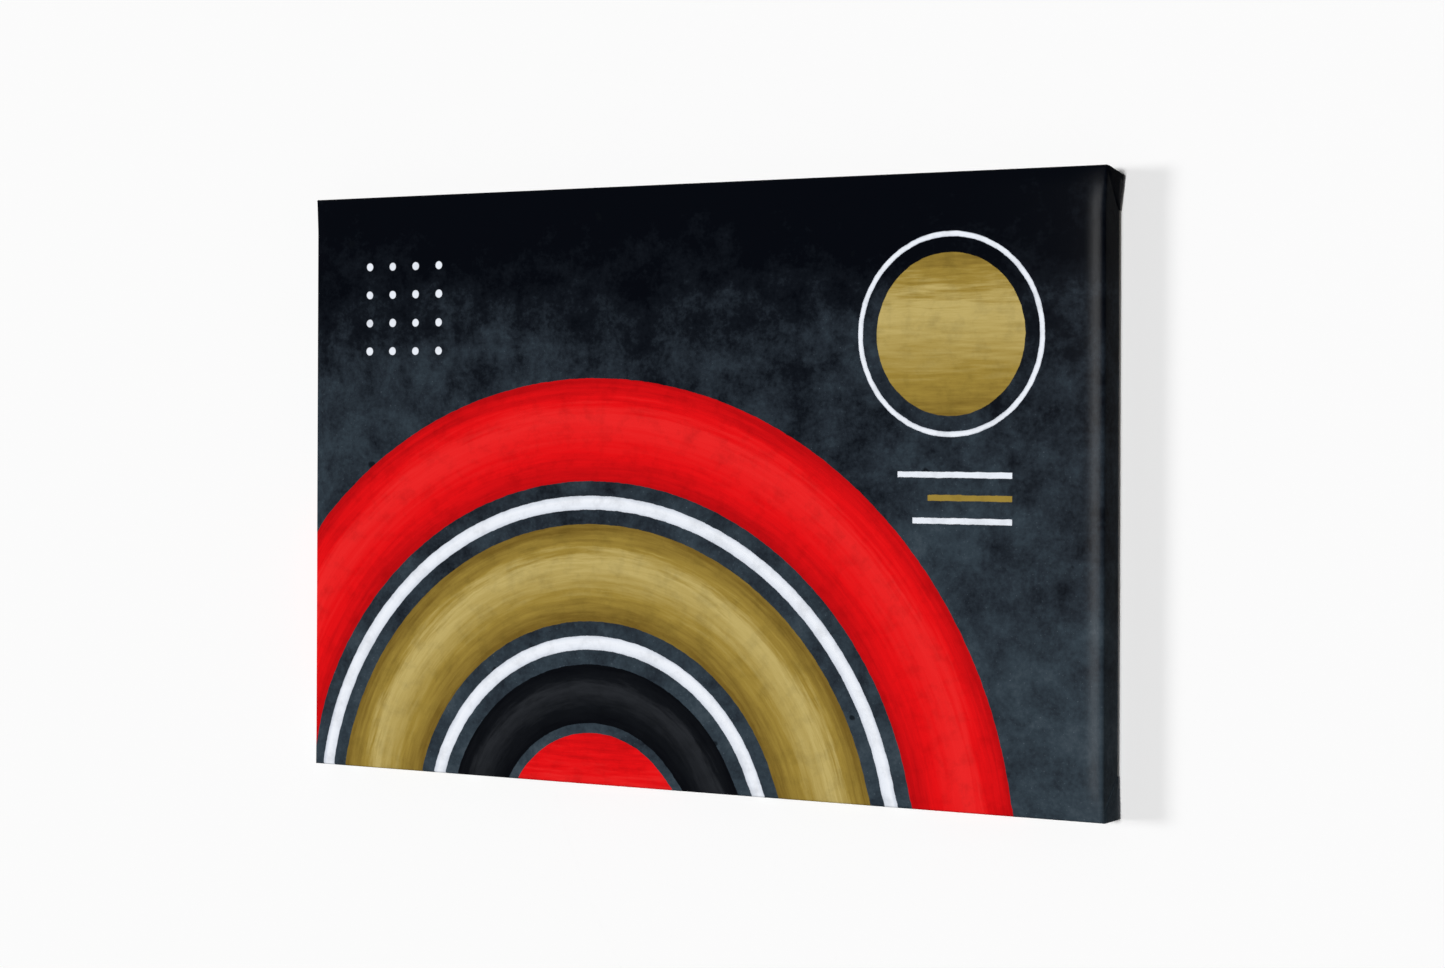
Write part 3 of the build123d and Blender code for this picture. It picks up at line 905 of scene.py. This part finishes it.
def oneScrew(bm, node, turn):  # a pan head with a cross recess, on its shank
    low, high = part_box(node)
    radius = (high.x - low.x) / 2
    rim = high.y - screwSet["dome"]
    seat = Matrix.Translation(((low.x + high.x) / 2, 0, (low.z + high.z) / 2))
    cells = screwSet["cells"]
    before = set(bm.verts)
    verts = bmesh.ops.create_grid(bm, x_segments=cells, y_segments=cells, size=1.0)["verts"]
    faces = once(face for vert in verts for face in vert.link_faces)
    cross = []
    for face in faces:
        near, far = sorted(abs(value) for value in face.calc_center_median()[:2])
        if near < screwSet["crossHalf"] and far < screwSet["crossReach"]:
            cross.append(face)
    for vert in verts:  # the square grid is drawn out to a round, domed one
        u, v = vert.co.x, vert.co.y
        across, up = u * math.sqrt(1 - v * v / 2), v * math.sqrt(1 - u * u / 2)
        swell = screwSet["dome"] * (1 - (across * across + up * up) ** 1.5)
        vert.co = (radius * across, rim + swell, radius * up)
    border = [edge for edge in once(edge for face in faces for edge in face.edges) if edge.is_boundary]
    bmesh.ops.inset_region(
        bm, faces=cross, thickness=radius * screwSet["crossWall"], use_even_offset=True, use_boundary=True
    )
    for vert in once(vert for face in cross for vert in face.verts):
        vert.co.y -= screwSet["deep"]
    under, shank = high.y - screwSet["head"], screwSet["shank"]
    for share, depth in ((1.0, under), (shank, under), (shank, low.y + screwSet["tip"]), (0.02, low.y)):
        grown = bmesh.ops.extrude_edge_only(bm, edges=border)["geom"]
        border = [item for item in grown if isinstance(item, bmesh.types.BMEdge) and item.is_boundary]
        for vert in (item for item in grown if isinstance(item, bmesh.types.BMVert)):
            out = Vector((vert.co.x, 0, vert.co.z)).normalized() * radius * share
            vert.co = (out.x, depth, out.z)
    bmesh.ops.holes_fill(bm, edges=border, sides=0)
    whole = [vert for vert in bm.verts if vert not in before]
    bmesh.ops.transform(bm, matrix=seat @ Matrix.Rotation(turn, 4, "Y"), verts=whole)


def makeScrews():
    bm = bmesh.new()
    for node, turn in zip(("screw_left", "screw_right"), screwSet["turns"]):
        oneScrew(bm, node, turn)
    bmesh.ops.recalc_face_normals(bm, faces=bm.faces)
    return bm


assign("hanger", zincPlate("hangerZinc", (0.70, 0.68, 0.62)))
screwZinc = zincPlate("screwZinc", (0.74, 0.66, 0.46))
screwPiece = finishPiece("hangerScrews", makeScrews(), [screwZinc], 35)
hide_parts("screw_left", "screw_right")
bumperRubber = rubber()
for node in ("bumper_left", "bumper_right"):
    assign(node, bumperRubber)
print("fittings done")


# stage: a white wall seen only from its front, and a pale floor far below

stageSet = dict(
    wall=dict(colour=0.965, glow=0.0),
    floor=dict(colour=0.80, glow=0.23),  # the floor's own glow, since the lamps only graze it
    wallY=0.0006,
    floorZ=-1.65,
    reach=60.0,
)


def stageSurface(name, colour, glow):  # light passes through it, so the back of the print is lit too
    bench = NodeBench(name)
    matt = bench.add("ShaderNodeBsdfDiffuse")
    matt.inputs[0].default_value = (colour, colour, colour, 1)
    shine = bench.add("ShaderNodeEmission")
    shine.inputs["Strength"].default_value = glow
    both = bench.add("ShaderNodeAddShader")
    bench.plug(both.inputs[0], matt.outputs[0])
    bench.plug(both.inputs[1], shine.outputs[0])
    clear = bench.add("ShaderNodeBsdfTransparent")
    path = bench.add("ShaderNodeLightPath")
    seen = bench.math("MAXIMUM", path.outputs["Is Camera Ray"], path.outputs["Is Glossy Ray"])
    seen = bench.math("MAXIMUM", seen, path.outputs["Is Transmission Ray"])
    facing = bench.math("SUBTRACT", 1.0, bench.add("ShaderNodeNewGeometry").outputs["Backfacing"])
    blend = bench.add("ShaderNodeMixShader")
    bench.plug(blend.inputs[0], bench.math("MULTIPLY", seen, facing))
    bench.plug(blend.inputs[1], clear.outputs[0])
    bench.plug(blend.inputs[2], both.outputs[0])
    output = bench.add("ShaderNodeOutputMaterial")
    bench.plug(output.inputs[0], blend.outputs[0])
    return bench.material


def makeStage(name, matrix):
    bm = bmesh.new()
    bmesh.ops.create_grid(bm, x_segments=1, y_segments=1, size=stageSet["reach"], matrix=matrix)
    mesh = bpy.data.meshes.new(name)
    bm.to_mesh(mesh)
    bm.free()
    mesh.materials.append(stageSurface(name, **stageSet[name]))
    item = bpy.data.objects.new(name, mesh)
    bpy.context.scene.collection.objects.link(item)


makeStage("wall", Matrix.Translation((0, stageSet["wallY"], midZ)) @ Matrix.Rotation(math.pi / 2, 4, "X"))
makeStage("floor", Matrix.Translation((0, 0, stageSet["floorZ"])))


# light: a broad front, a key that throws the wall shadow, fills behind and beside, a strip for sheen

lampSet = dict(
    suns=dict(  # turn from the front to the right, height, strength, width in degrees, in reflections
        front=(2, 3, 2.36, 12, False),
        key=(-52, 1, 0.98, 13, False),
        rear=(-148, 34, 2.1, 14, True),
        rearFill=(178, 6, 1.5, 40, False),
        side=(100, 4, 0.24, 14, False),
        top=(180, 78, 0.9, 14, False),
    ),
    strip=dict(  # its narrow beam falls on the right edge alone
        place=(0.27, -1.02, -0.30), aim=(0.547, -0.041, -0.33), size=(0.05, 0.90), power=5.2, beam=36
    ),
    sunAway=3.0,
    world=0.06,
    backdrop=0.965,
)


def hangLamp(name, kind, place, aim):
    data = bpy.data.lights.new(name, kind)
    lamp = bpy.data.objects.new(name, data)
    lamp.location = place
    lamp.rotation_euler = (Vector(aim) - Vector(place)).to_track_quat("-Z", "Y").to_euler()
    bpy.context.scene.collection.objects.link(lamp)
    return lamp, data


middle = Vector((0, frontY, midZ))
for name, (around, height, strength, wide, glossy) in lampSet["suns"].items():
    around, height = math.radians(around), math.radians(height)
    level = math.cos(height)
    way = Vector((math.sin(around) * level, -math.cos(around) * level, math.sin(height)))
    lamp, data = hangLamp(name, "SUN", middle + way * lampSet["sunAway"], middle)
    data.energy = strength
    data.angle = math.radians(wide)
    lamp.visible_glossy = glossy
stripSet = lampSet["strip"]
strip, data = hangLamp("strip", "AREA", stripSet["place"], stripSet["aim"])
data.shape = "RECTANGLE"
data.size, data.size_y = stripSet["size"]
data.energy = stripSet["power"]
data.spread = math.radians(stripSet["beam"])
strip.visible_diffuse = strip.visible_camera = False

world = bpy.data.worlds.new("studio")
world.use_nodes = True
bpy.context.scene.world = world
tree = world.node_tree
background = tree.nodes["Background"]
background.inputs["Color"].default_value = (1, 1, 1, 1)
path = tree.nodes.new("ShaderNodeLightPath")
glow = tree.nodes.new("ShaderNodeMapRange")
glow.inputs["To Min"].default_value = lampSet["world"]
glow.inputs["To Max"].default_value = lampSet["backdrop"]
seen = path.outputs["Is Camera Ray"]
for ray in ("Is Glossy Ray", "Is Transmission Ray"):
    either = tree.nodes.new("ShaderNodeMath")
    either.operation = "MAXIMUM"
    tree.links.new(seen, either.inputs[0])
    tree.links.new(path.outputs[ray], either.inputs[1])
    seen = either.outputs[0]
tree.links.new(seen, glow.inputs["Value"])
tree.links.new(glow.outputs[0], background.inputs["Strength"])


# camera, level, fitted to the print's corners

cameraSet = dict(
    place=(1.48861, -2.53518, -0.20841),
    forward=(-0.50157, 0.86512, 0.00098),
    up=(-0.00263, -0.00266, 0.99999),
    lens=72.165,
    sensor=36.0,
    shift=(0.00494, -0.04189),
)
cameraData = bpy.data.cameras.new("camera")
cameraData.sensor_width = cameraSet["sensor"]
cameraData.sensor_fit = "HORIZONTAL"
cameraData.lens = cameraSet["lens"]
cameraData.shift_x, cameraData.shift_y = cameraSet["shift"]
camera = bpy.data.objects.new("camera", cameraData)
bpy.context.scene.collection.objects.link(camera)
forward = Vector(cameraSet["forward"]).normalized()
right = forward.cross(Vector(cameraSet["up"])).normalized()
camera.rotation_euler = Matrix((right, right.cross(forward), -forward)).transposed().to_euler()
camera.location = cameraSet["place"]
bpy.context.scene.camera = camera
bpy.context.scene.view_settings.view_transform = "Standard"
print("stage, lamps and camera done")
